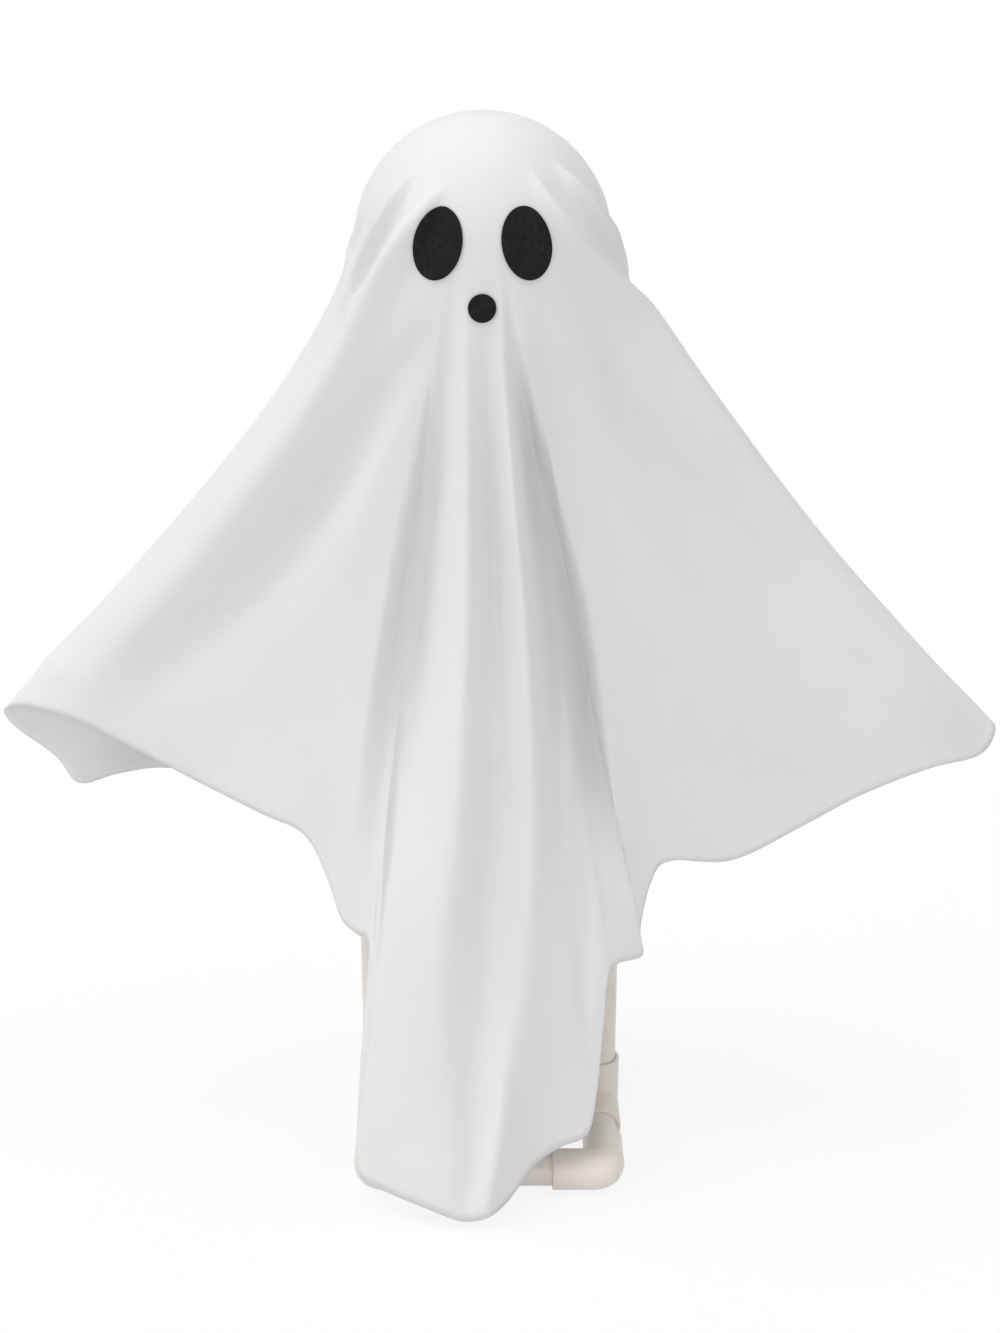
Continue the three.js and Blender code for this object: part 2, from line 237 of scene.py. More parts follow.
def clothMaterial():
    material, start = newMaterial("whiteJersey")
    uv = start.node("UVMap", {"uv_map": "cut"})
    across = start.node("SeparateXYZ", None, {0: uv}, 0)
    down = start.node("SeparateXYZ", None, {0: uv}, 1)
    leg = ((across / weave["wale"]).maths("FRACT") - 0.5).maths("ABSOLUTE") * 2.0
    stitch = (down / weave["course"] + leg * weave["legRows"]).wave()
    knit = stitch * weave["stitchShare"] + (1.0 - leg ** 3.0) * (1 - weave["stitchShare"])
    fuzz = uv.noise(weave["fuzz"], 2.0, 0.6)
    cloud = uv.noise(weave["cloud"], 4.0, 0.55)
    # a tenth of the tone follows the knit's relief, which is painted shade in its grooves; the rest
    # is random change of tone
    tone = (cloud * 0.7 + fuzz * 0.2 + knit * 0.1).between(*weave["toneRange"])
    surface = start.node("BsdfPrincipled", None, {
        "Base Color": tone.mixed(weave["shaded"], weave["lit"]),
        "Roughness": weave["roughness"],
        "Specular IOR Level": 0.25,
        "Sheen Weight": weave["sheen"],
        "Sheen Roughness": 0.45,
        "Normal": (knit * 0.7 + fuzz * 0.3).bump(weave["bump"], weave["depth"]),
    })
    finishMaterial(surface)
    return material


nap = {
    # deep and lit: the felt's colour follows the height of its nap, which is painted shade in the
    # hollows and painted light on the raised hairs
    "deep": colour(0.006, 0.006, 0.007),
    "lit": colour(0.02, 0.02, 0.023),
    "hair": 1400.0,
    "clump": 160.0,
    "toneRange": (0.3, 0.75),
    "bump": 0.5,
    "depth": 0.0003,
    "roughness": 0.96,
    "sheen": 0.12,
}


def feltMaterial():
    material, start = newMaterial("blackFelt")
    place = start.node("TexCoord", None, None, 3)
    hair = place.noise(nap["hair"], 4.0, 0.7)
    clump = place.noise(nap["clump"], 3.0, 0.5, 1.2)
    # the same noises as the bump, so the nap's hollows take the deep colour (painted shade) and its
    # raised hairs the lit one (painted light)
    tone = (hair * 0.5 + clump * 0.5).between(*nap["toneRange"])
    surface = start.node("BsdfPrincipled", None, {
        "Base Color": tone.mixed(nap["deep"], nap["lit"]),
        "Roughness": nap["roughness"],
        "Specular IOR Level": 0.15,
        "Sheen Weight": nap["sheen"],
        "Normal": (hair * 0.6 + clump * 0.4).bump(nap["bump"], nap["depth"]),
    })
    finishMaterial(surface)
    return material


plastic = {
    "clean": colour(0.86, 0.80, 0.735),
    "dull": colour(0.80, 0.725, 0.655),
    "cloud": 22.0,
    "speck": 420.0,
    "lines": (900.0, 6.0, 1.0), # across the pipe, along it
    "peel": 380.0,
    "drawnDepth": 0.00004,
    "mouldedDepth": 0.00006,
    "bump": 0.35,
    "scuffRange": (0.52, 0.72),
    "roughness": 0.3,
    "scuffRoughness": 0.16,     # more of it where the plastic is scuffed
    "ior": 1.53,
}


def plasticMaterial(name, drawn):
    material, start = newMaterial(name)
    place = start.node("TexCoord", None, None, 3)
    cloud = place.noise(plastic["cloud"], 5.0, 0.6)
    speck = place.noise(plastic["speck"], 2.0)
    if drawn:                                   # faint lines along a pipe, from its die
        around = start.node("UVMap", {"uv_map": "round"})
        drawnOut = start.node("Mapping", None, {"Vector": around, "Scale": plastic["lines"]})
        height = drawnOut.noise(1.0, 3.0) * 0.7 + speck * 0.3
        depth = plastic["drawnDepth"]
    else:                                       # the slight orange peel of a moulding
        peel = start.node("TexVoronoi", {"feature": "SMOOTH_F1"},
                          {"Vector": place, "Scale": plastic["peel"]})
        height = peel * 0.5 + cloud * 0.3 + speck * 0.2
        depth = plastic["mouldedDepth"]
    scuff = (cloud * 0.75 + speck * 0.25).between(*plastic["scuffRange"])
    surface = start.node("BsdfPrincipled", None, {
        "Base Color": scuff.mixed(plastic["clean"], plastic["dull"]),
        "Roughness": plastic["roughness"] + scuff * plastic["scuffRoughness"],
        "IOR": plastic["ior"],
        "Normal": height.bump(plastic["bump"], depth),
    })
    finishMaterial(surface)
    return material


beads = {
    "seam": colour(0.80, 0.80, 0.79),
    "skin": colour(0.90, 0.90, 0.885),
    "scale": 300.0,
    "seamWidth": 0.12,
    "cloud": 60.0,
    "bump": 0.6,
    "depth": 0.0004,
    "seamRoughness": 0.82,
    "smoother": 0.12,           # how much less rough the beads are than their seams
}


def foamMaterial():
    material, start = newMaterial("beadFoam")
    place = start.node("TexCoord", None, None, 3)
    bead = start.node("TexVoronoi", {"feature": "DISTANCE_TO_EDGE"},
                      {"Vector": place, "Scale": beads["scale"]})
    skin = bead.between(0.0, beads["seamWidth"])
    cloud = place.noise(beads["cloud"], 3.0)
    surface = start.node("BsdfPrincipled", None, {
        "Base Color": skin.mixed(beads["seam"], beads["skin"]),
        "Roughness": beads["seamRoughness"] - skin * beads["smoother"],
        "Normal": (skin * 0.8 + cloud * 0.2).bump(beads["bump"], beads["depth"]),
    })
    finishMaterial(surface)
    return material


jersey = clothMaterial()
felt = feltMaterial()
pipePlastic = plasticMaterial("drawnPipe", True)
hubPlastic = plasticMaterial("mouldedFitting", False)
foam = foamMaterial()
print("materials done")

# Steps that several pieces share


def addPiece(mesh, name, node, body, material, crease):
    mesh.name = name
    mesh.materials.clear()
    mesh.materials.append(material)
    for face in mesh.polygons:
        face.use_smooth = True
        face.material_index = 0
    mesh.set_sharp_from_angle(angle=math.radians(crease))
    piece = bpy.data.objects.new(name, mesh)
    bpy.context.scene.collection.objects.link(piece)
    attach(piece, body)
    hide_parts(node)
    return piece


def toMesh(shape):
    mesh = bpy.data.meshes.new("shape")
    shape.to_mesh(mesh)
    shape.free()
    return mesh


# A closed outline of (radius, height) turned about Z
def turned(profile):
    shape = bmesh.new()
    points = [shape.verts.new((radius, 0, height)) for radius, height in profile]
    edges = [shape.edges.new(pair) for pair in zip(points, points[1:])]
    if profile[0][0] > 0:
        edges.append(shape.edges.new((points[-1], points[0])))
    bmesh.ops.spin(shape, geom=points + edges, cent=(0, 0, 0), axis=(0, 0, 1),
                   angle=2 * math.pi, steps=stand["sides"], use_merge=True)
    bmesh.ops.remove_doubles(shape, verts=shape.verts[:], dist=stand["merge"])
    bmesh.ops.recalc_face_normals(shape, faces=shape.faces[:])
    return shape


# One mesh of some bodies joined, less some cuts
def carved(bodies, cuts):
    operands = [bpy.data.objects.new("operand", toMesh(shape)) for shape in bodies + cuts]
    for operand in operands:
        bpy.context.scene.collection.objects.link(operand)
    for index, operand in enumerate(operands[1:], 1):
        step = operands[0].modifiers.new("step", "BOOLEAN")
        step.operation = "UNION" if index < len(bodies) else "DIFFERENCE"
        step.solver = "EXACT"
        step.object = operand
    depsgraph = bpy.context.evaluated_depsgraph_get()
    mesh = bpy.data.meshes.new_from_object(operands[0].evaluated_get(depsgraph))
    for operand in operands:
        spent = operand.data
        bpy.data.objects.remove(operand)
        bpy.data.meshes.remove(spent)
    return mesh


# A matrix that turns X, Y and Z to three directions and moves to a place
def placing(place, xTo, yTo, zTo):
    return Matrix.Translation(place) @ Matrix((xTo, yTo, zTo)).transposed().to_4x4()


def placed(mesh, matrix):
    copy = mesh.copy()
    copy.transform(matrix)
    return copy


# The pipe stand

stand = {
    "pipeRadius": 0.01335,
    "pipeBore": 0.01045,
    "hubRadius": 0.01665,
    "branchRadius": 0.01659,
    "socketDepth": 0.026,
    "bendStop": 0.017,          # from a fitting's middle to the stop in its socket
    "halfBendStop": 0.008,      # the same in a 45 degree elbow
    "gap": 0.0003,
    "cutPast": 0.001,
    "rim": 0.0010,
    "rimRound": 0.29,           # where the middle of the rim's round lies, in rims
    "mouth": 0.0006,            # chamfer inside a socket's mouth
    "bendRadius": 0.0080,       # of the line through the middle of a bend
    "bendSteps": 14,
    "bendUnder": 0.00025,       # a bend's middle is this much slimmer than its hubs
    "boreUnder": 0.0001,        # and its bore this much tighter
    "branchUnder": 0.00006,     # a tee's branch bore too, so that no faces coincide
    "overlap": 0.001,           # bodies run this far into each other
    "halfWidth": 0.095,
    "halfDepth": 0.105,
    "barHeight": 0.568,
    "railHeight": 0.01651,
    "neckX": -0.0035,
    "nippleShow": 0.006,
    "armPipe": 0.160,
    "slope": math.radians(45),
    "capWall": 0.0033,
    "capDome": 0.0050,
    "capSteps": 6,
    "pipeEdge": 0.0004,
    "ballHeight": 0.753,
    "ballRadius": 0.092,
    "ballBore": 0.080,
    "ballSides": 72,
    "ballRings": 40,
    "sides": 64,
    "merge": 1e-6,              # points closer than this become one
    "crease": 32,               # degrees, above which an edge stays sharp
}
socketRadius = stand["pipeRadius"] + stand["gap"]


def rimmed(radius, reach):                      # the rounded outer rim of a hub
    rim, part = stand["rim"], stand["rimRound"] * stand["rim"]
    return [(radius, reach - rim), (radius - part, reach - part), (radius - rim, reach)]


def hubOutside(radius, reach, start):
    return [(0, start), (radius, start), *rimmed(radius, reach), (0, reach)]


def hubInside(radius, stop, reach, start):
    past, wide = reach + stand["cutPast"], socketRadius + stand["mouth"]
    mouth = [(socketRadius, reach - stand["mouth"]), (wide, reach), (wide, past)]
    return [(0, start), (radius, start), (radius, stop), (socketRadius, stop), *mouth, (0, past)]


def hub(way, profile):
    shape = turned(profile)
    turn = Vector((0, 0, 1)).rotation_difference(Vector(way)).to_matrix()
    bmesh.ops.rotate(shape, cent=(0, 0, 0), matrix=turn, verts=shape.verts)
    return shape


# The rounded middle of a bend: rings swept about the bend's axis, wrapped in one hull
def bendMiddle(radius, first, second):
    first, second = Vector(first), Vector(second)
    half = first.angle(second) / 2
    reach = stand["bendRadius"] / math.tan(half)
    axis = first.cross(second).normalized()
    middle = (first + second).normalized() * (stand["bendRadius"] / math.sin(half))
    shape = bmesh.new()
    steps = stand["bendSteps"]
    sweep = math.pi - 2 * half
    for step in range(steps + 1):
        ring = bmesh.ops.create_circle(shape, segments=stand["sides"], radius=radius)["verts"]
        turn = Vector((0, 0, 1)).rotation_difference(first).to_matrix()
        bmesh.ops.rotate(shape, cent=(0, 0, 0), matrix=turn, verts=ring)
        bmesh.ops.translate(shape, vec=first * reach, verts=ring)
        about = Matrix.Rotation(-sweep * step / steps, 3, axis)
        bmesh.ops.rotate(shape, cent=middle, matrix=about, verts=ring)
    bmesh.ops.convex_hull(shape, input=shape.verts[:])
    loose = [vert for vert in shape.verts if not vert.link_faces]
    bmesh.ops.delete(shape, geom=loose, context="VERTS")
    bmesh.ops.recalc_face_normals(shape, faces=shape.faces[:])
    return shape


def bendMesh(first, second, stop):
    reach = stop + stand["socketDepth"]
    half = Vector(first).angle(Vector(second)) / 2
    start = stand["bendRadius"] / math.tan(half) - stand["overlap"]
    bodies = [bendMiddle(stand["hubRadius"] - stand["bendUnder"], first, second)]
    cuts = [bendMiddle(stand["pipeBore"] - stand["boreUnder"], first, second)]
    for way in (first, second):
        bodies.append(hub(way, hubOutside(stand["hubRadius"], reach, start)))
        inside = hubInside(stand["pipeBore"], stop, reach, start - stand["overlap"] / 2)
        cuts.append(hub(way, inside))
    return carved(bodies, cuts)


def teeMesh():
    stop = stand["bendStop"]
    reach = stop + stand["socketDepth"]
    past = reach + stand["cutPast"]
    radius, bore = stand["hubRadius"], stand["pipeBore"]
    run = [(r, -z) for r, z in reversed(rimmed(radius, reach))] + rimmed(radius, reach)
    runOutside = [(0, -reach), *run, (0, reach)]
    half = [(bore, 0), (bore, stop), (socketRadius, stop), (socketRadius, past), (0, past)]
    runInside = [(r, -z) for r, z in reversed(half[1:])] + half[1:]
    branchOutside = hubOutside(stand["branchRadius"], reach, 0)
    branchInside = hubInside(bore - stand["branchUnder"], stop, reach, 0)
    bodies = [hub((1, 0, 0), runOutside), hub((0, 0, 1), branchOutside)]
    return carved(bodies, [hub((1, 0, 0), runInside), hub((0, 0, 1), branchInside)])


def capMesh():
    reach = stand["socketDepth"] + stand["capWall"]
    radius, dome, rim = stand["hubRadius"], stand["capDome"], stand["rim"]
    depth, steps = stand["socketDepth"], stand["capSteps"]
    tilts = [math.radians(90 / steps * i) for i in range(steps)]
    crown = [(radius * math.cos(tilt), reach - dome + dome * math.sin(tilt)) for tilt in tilts]
    return toMesh(turned([(socketRadius, 0), (radius - rim, 0), (radius, rim), *crown,
                          (0, reach), (0, depth), (socketRadius, depth)]))


# A pipe from one fitting's stop to the next, with its own round UV map
def pipeMesh(length):
    radius, bore, edge = stand["pipeRadius"], stand["pipeBore"], stand["pipeEdge"]
    shape = turned([(bore, 0), (radius - edge, 0), (radius, edge), (radius, length - edge),
                    (radius - edge, length), (bore, length)])
    layer = shape.loops.layers.uv.new("round")
    for face in shape.faces:
        centre = face.calc_center_median()
        base = math.atan2(centre.y, centre.x)
        for loop in face.loops:
            turn = math.atan2(loop.vert.co.y, loop.vert.co.x)
            turn = base + math.remainder(turn - base, 2 * math.pi)
            loop[layer].uv = (turn * radius, loop.vert.co.z)
    return toMesh(shape)


def pieceName(node):
    words = node.split("_")
    return words[0] + "".join(word.capitalize() for word in words[1:])


def addPipe(node, start, end, stopStart, stopEnd):
    start, end = Vector(start), Vector(end)
    along = (end - start).normalized()
    length = (end - start).length - stopStart - stopEnd - 2 * stand["gap"]
    turn = Vector((0, 0, 1)).rotation_difference(along).to_matrix().to_4x4()
    mesh = pipeMesh(length)
    mesh.transform(Matrix.Translation(start + along * (stopStart + stand["gap"])) @ turn)
    addPiece(mesh, pieceName(node), node, "stand", pipePlastic, stand["crease"])


def addFitting(node, mesh, matrix):
    mesh = placed(mesh, matrix)
    addPiece(mesh, pieceName(node), node, "stand", hubPlastic, stand["crease"])


# Where an arm bends down, and the way it goes from there
def armLine(side):
    reach = stand["bendStop"] + stand["socketDepth"]
    far = (stand["halfWidth"] + reach + stand["nippleShow"] + stand["halfBendStop"]
           + stand["socketDepth"])
    slope = Vector((side * math.cos(stand["slope"]), 0, -math.sin(stand["slope"])))
    return Vector((side * far, 0, stand["barHeight"])), slope


def buildStand():
    stop, halfStop = stand["bendStop"], stand["halfBendStop"]
    depth = stand["socketDepth"]
    rail, bar = stand["railHeight"], stand["barHeight"]
    wide, deep = stand["halfWidth"], stand["halfDepth"]
    tee = teeMesh()
    elbow = bendMesh((1, 0, 0), (0, 1, 0), stop)
    armElbow = bendMesh((-1, 0, 0), armLine(1)[1], halfStop)
    cap = capMesh()
    x, y, z = Vector((1, 0, 0)), Vector((0, 1, 0)), Vector((0, 0, 1))
    neck = (stand["neckX"], 0, bar)
    addFitting("neck_tee", tee, placing(neck, x, y, z))
    for word, side in (("left", -1), ("right", 1)):
        foot = (side * wide, 0, rail)
        front = (side * wide, -deep, rail)
        back = (side * wide, deep, rail)
        shoulder = (side * wide, 0, bar)
        bend, slope = armLine(side)
        mouth = bend + slope * (halfStop + depth + stand["armPipe"])
        frontWays = (x, y, z) if side < 0 else (y, -x, z)
        backWays = (-y, x, z) if side < 0 else (-x, -y, z)
        armWays = (x, y, z) if side > 0 else (-x, -y, z)
        addFitting(f"base_tee_{word}", tee, placing(foot, y, -x, z))
        addFitting(f"shoulder_tee_{word}", tee, placing(shoulder, x, -y, -z))
        addFitting(f"base_elbow_front_{word}", elbow, placing(front, *frontWays))
        addFitting(f"base_elbow_back_{word}", elbow, placing(back, *backWays))
        addFitting(f"arm_elbow_{word}", armElbow, placing(bend, *armWays))
        turn = z.rotation_difference(slope).to_matrix().to_4x4()
        addFitting(f"arm_cap_{word}", cap, Matrix.Translation(mouth) @ turn)
        addPipe(f"base_side_pipe_front_{word}", foot, front, stop, stop)
        addPipe(f"base_side_pipe_back_{word}", foot, back, stop, stop)
        addPipe(f"upright_pipe_{word}", foot, shoulder, stop, stop)
        addPipe(f"crossbar_pipe_{word}", neck, shoulder, stop, stop)
        addPipe(f"shoulder_nipple_{word}", shoulder, bend, stop, halfStop)
        addPipe(f"arm_pipe_{word}", bend, mouth + slope * depth, halfStop, 0)
    for word, side in (("front", -1), ("back", 1)):
        left, right = (-wide, side * deep, rail), (wide, side * deep, rail)
        addPipe(f"base_{word}_pipe", left, right, stop, stop)
    radius = stand["ballRadius"]
    boreTop = stand["ballHeight"] - radius + stand["ballBore"]
    addPipe("neck_pipe", neck, (stand["neckX"], 0, boreTop), stop, 0)
    ball = bmesh.new()
    bmesh.ops.create_uvsphere(ball, u_segments=stand["ballSides"], v_segments=stand["ballRings"],
                              radius=radius)
    low, high = -radius - 2 * stand["cutPast"], stand["ballBore"] - radius
    bore = turned([(0, low), (socketRadius, low), (socketRadius, high), (0, high)])
    mesh = carved([ball], [bore])
    mesh.transform(Matrix.Translation((stand["neckX"], 0, stand["ballHeight"])))
    addPiece(mesh, "headBall", "head_ball", "stand", foam, stand["crease"])


buildStand()
print("stand done")

# The draped sheet

# Stations of the hem, in millimetres: where the cloth leaves the ball (degrees about Z
# from +X), and where its edge hangs
hem = [
    (-20, 414, 13, 362),        # right tip
    (-27, 410, 6, 348),
    (-33, 395, -4, 340),
    (-40, 355, -24, 339),
    (-46, 298, -39, 322),
    (-53, 252, -49, 300),
    (-60, 195, -59, 274),       # right lobe
    (-65, 145, -64, 276),
    (-67.5, 130, -70, 262),
    (-70, 121, -82, 225),
    (-72, 123, -88, 204),       # right lower corner
    (-73.7, 104, -104, 205),
    (-75.5, 95, -111, 198),
    (-77.3, 91, -118, 150),     # right edge of the tail
    (-79, 86, -126, 95),
    (-81, 79, -131, 65),
    (-84, 57, -135, 56),
    (-87, 36, -143, 44),
    (-90, 12, -157, 17),
    (-93, -16, -165, 6),        # lowest point of the tail
    (-96.5, -50, -158, 14),
    (-100.5, -82, -146, 21),
    (-103.5, -102, -136, 26),
    (-105.5, -107, -129, 40),
    (-107, -104, -123, 100),    # left edge of the tail
    (-108.5, -97, -113, 185),
    (-110, -94, -106, 225),
    (-112, -104, -99, 229),
    (-114, -117, -92, 240),     # left lower corner
    (-117, -127, -84, 270),
    (-121, -145, -75, 304),
    (-127, -180, -63, 317),
    (-134, -235, -46, 339),
    (-141, -285, -36, 363),
    (-147, -325, -28, 382),
    (-152, -358, -16, 387),
    (-158, -377, -4, 386),      # left tip, over the arm
    (-165, -395, 10, 376),      # the cloth's left corner
    (-172, -388, 20, 356),
    (-180, -362, 32, 328),
    (-187, -345, 40, 303),
    (-194, -310, 43, 309),
    (-203, -262, 50, 305),
    (-212, -190, 62, 265),
    (-222, -125, 85, 190),
    (-232, -95, 115, 80),
    (-251, -60, 150, 22),
    (-270, 10, 160, 12),        # back tail
    (-290, 75, 142, 40),
    (-306, 100, 108, 150),
    (-321, 150, 76, 255),
    (-335, 250, 58, 292),
    (-347, 345, 46, 319),
    (-361, 380, 38, 350),
    (-372, 405, 26, 356),
]

# Broad folds: degrees about Z where each starts at the ball, half way and at the hem,
# half width in degrees, and how far it stands out (or lies in), in millimetres
folds = [
    ((-176, -182, -188), 9, 12),
    ((-205, -210, -212), 8, -14),
    ((-232, -238, -240), 10, 18),
    ((-262, -262, -262), 7, -15),
    ((-284, -286, -286), 9, 17),
    ((-318, -316, -314), 8, -14),
    ((-345, -342, -340), 9, 12),
]

# Lines of the pleats down the front, from left to right, each with points of: azimuth,
# level (1 is the ball's widest ring, 2 the hem) and how far it stands ahead of the plain
# cloth, in millimetres
pleats = {
    "leftOut": [(-120.0, 1.131, 0), (-121.7, 1.197, 0), (-123.8, 1.277, 0), (-124.9, 1.364, 0),
        (-125.4, 1.470, 0), (-124.3, 1.577, 0), (-123.3, 1.664, 0), (-122.2, 1.750, 0),
        (-120.9, 1.853, 0), (-120.2, 1.920, 0)],
    "leftEdge": [(-105.2, 1.081, -6.5), (-107.8, 1.144, -10), (-110.6, 1.231, -11.2),
        (-112.4, 1.304, -11.7), (-113.5, 1.397, -10.7), (-114.1, 1.490, -8.4),
        (-114.1, 1.567, -6.6), (-114.4, 1.647, -3.5), (-113.7, 1.734, -1.3),
        (-113.4, 1.790, 1.4)],
    "leftBottom": [(-103.1, 1.081, -7.7), (-105.3, 1.124, -15.6), (-106.8, 1.187, -24),
        (-109.3, 1.300, -28.8), (-111.1, 1.400, -31.5), (-111.4, 1.494, -34.3),
        (-111.5, 1.567, -33), (-111.4, 1.644, -28.2), (-111.3, 1.727, -17.6), (-111.2, 1.807, -8),
        (-110.9, 1.883, -3.2)],
    "leftGrooveA": [(-102.5, 1.081, -7.1), (-103.9, 1.121, -16), (-105.6, 1.174, -24.8),
        (-107.2, 1.254, -31.3), (-109.4, 1.390, -34.7), (-109.8, 1.487, -37.7),
        (-109.9, 1.564, -36.3), (-110.1, 1.640, -31), (-109.8, 1.720, -21.4),
        (-109.8, 1.797, -11.6), (-108.6, 1.820, -8.6)],
    "leftGroove": [(-101.8, 1.077, -6.3), (-102.9, 1.121, -16.1), (-104.0, 1.171, -26),
        (-105.3, 1.227, -32.6), (-107.0, 1.324, -38.5), (-107.4, 1.410, -42.2),
        (-107.5, 1.477, -40.9), (-107.5, 1.537, -36.9), (-107.3, 1.597, -27.6),
        (-107.2, 1.657, -18), (-106.6, 1.687, -12)],
    "leftGrooveB": [(-101.2, 1.077, -5.6), (-102.0, 1.121, -15.7), (-102.8, 1.171, -25.9),
        (-103.7, 1.224, -33.5), (-105.3, 1.294, -39.3), (-105.3, 1.360, -43.7),
        (-105.4, 1.417, -42.5), (-105.6, 1.474, -37.9), (-105.2, 1.530, -28.4),
        (-105.2, 1.587, -17.8), (-104.7, 1.637, -10.4)],
    "leftFoot": [(-100.5, 1.077, -4.9), (-101.1, 1.121, -15.2), (-101.6, 1.167, -25.5),
        (-102.3, 1.224, -34.2), (-103.2, 1.290, -40.9), (-103.1, 1.354, -45.6),
        (-103.4, 1.410, -44.6), (-103.6, 1.464, -39.8), (-103.4, 1.524, -29.8),
        (-103.2, 1.577, -18.7), (-103.1, 1.630, -9.4)],
    "leftRidge": [(-97.5, 1.037, 1.2), (-96.7, 1.074, 4.8), (-96.4, 1.111, 7.2),
        (-95.8, 1.154, 9.6), (-95.2, 1.201, 10.8), (-95.0, 1.260, 12), (-94.6, 1.317, 13.2),
        (-94.7, 1.367, 13.2), (-95.1, 1.420, 13.2), (-95.1, 1.484, 12), (-95.1, 1.540, 10.8),
        (-95.5, 1.597, 9.6), (-95.8, 1.640, 8.4), (-96.1, 1.694, 7.2), (-96.1, 1.750, 6),
        (-95.8, 1.817, 3.6), (-95.1, 1.873, 0)],
    "middleFoot": [(-89.0, 1.077, 0), (-88.4, 1.117, -4), (-88.8, 1.164, -8), (-88.7, 1.214, -11),
        (-88.4, 1.277, -11), (-88.8, 1.337, -11), (-88.9, 1.390, -12), (-89.3, 1.440, -12),
        (-89.7, 1.504, -13), (-89.9, 1.564, -14), (-90.6, 1.614, -14), (-91.1, 1.654, -13.8),
        (-91.7, 1.700, -13.5), (-91.6, 1.757, -12), (-91.6, 1.823, -8.8), (-91.6, 1.877, -6),
        (-91.6, 1.920, -3), (-91.7, 1.963, 0)],
    "rightRidge": [(-85.2, 1.067, 1.2), (-83.7, 1.081, 3.8), (-82.9, 1.121, 8.2),
        (-82.3, 1.164, 11.8), (-82.3, 1.214, 15.5), (-82.1, 1.277, 16.7), (-81.8, 1.344, 17.9),
        (-82.1, 1.397, 17.9), (-82.4, 1.454, 17.9), (-82.8, 1.520, 16.7), (-83.4, 1.584, 14.9),
        (-84.1, 1.640, 13.2), (-84.9, 1.684, 11.6), (-85.9, 1.734, 10.4), (-87.2, 1.783, 10.4),
        (-88.4, 1.840, 9.2), (-89.5, 1.883, 8.4), (-90.3, 1.923, 6.6), (-91.1, 1.967, 2.4)],
    "rightFoot": [(-82.3, 1.077, 8.1), (-80.8, 1.124, -5.7), (-78.8, 1.187, -20.2),
        (-77.9, 1.260, -30), (-77.0, 1.354, -37), (-76.5, 1.447, -40.2), (-76.6, 1.514, -43),
        (-77.0, 1.570, -40.1), (-77.5, 1.634, -39.3), (-78.0, 1.657, -19.8),
        (-78.4, 1.690, -15.4), (-78.9, 1.720, -11), (-80.0, 1.744, -6.1), (-80.5, 1.763, -2.2)],
    "rightGroove": [(-81.0, 1.081, 0.3), (-78.9, 1.134, -13), (-76.9, 1.211, -26.9),
        (-75.3, 1.297, -35.8), (-73.8, 1.387, -41), (-73.4, 1.477, -42.7), (-73.4, 1.550, -44.7),
        (-73.7, 1.624, -43.6), (-74.2, 1.714, -42.9), (-74.6, 1.763, -29.5), (-75.2, 1.813, -23),
        (-75.8, 1.853, -16.4), (-76.5, 1.880, -9), (-76.9, 1.890, -3.3)],
    "rightBottom": [(-79.8, 1.084, -3.3), (-77.7, 1.144, -16.3), (-74.9, 1.227, -29.3),
        (-73.0, 1.300, -36.1), (-71.7, 1.390, -38.8), (-69.9, 1.497, -37.6),
        (-70.1, 1.574, -38.2), (-71.1, 1.637, -38.3), (-72.3, 1.717, -37.6), (-72.5, 1.777, -36),
        (-72.7, 1.830, -28), (-73.0, 1.887, -20), (-73.3, 1.940, -11), (-73.5, 1.973, -4)],
    "rightEdge": [(-77.6, 1.091, 3.7), (-75.6, 1.154, -1.9), (-73.2, 1.217, -5.1),
        (-71.9, 1.287, -6.5), (-69.4, 1.394, -5.5), (-68.8, 1.494, -2.8), (-68.9, 1.570, -3.1),
        (-69.2, 1.644, -3), (-69.7, 1.727, -2.8), (-71.6, 1.757, -2), (-72.2, 1.810, -1),
        (-72.6, 1.870, -1), (-72.8, 1.933, -1), (-72.9, 1.973, 0)],
    "rightOut": [(-57.2, 1.127, 0), (-57.8, 1.187, 0), (-57.8, 1.260, 0), (-58.2, 1.337, 0),
        (-58.6, 1.437, 0), (-59.5, 1.534, 0), (-60.5, 1.617, 0), (-61.3, 1.700, 0),
        (-62.8, 1.810, 0), (-63.5, 1.883, 0), (-64.3, 1.960, 0)],
}

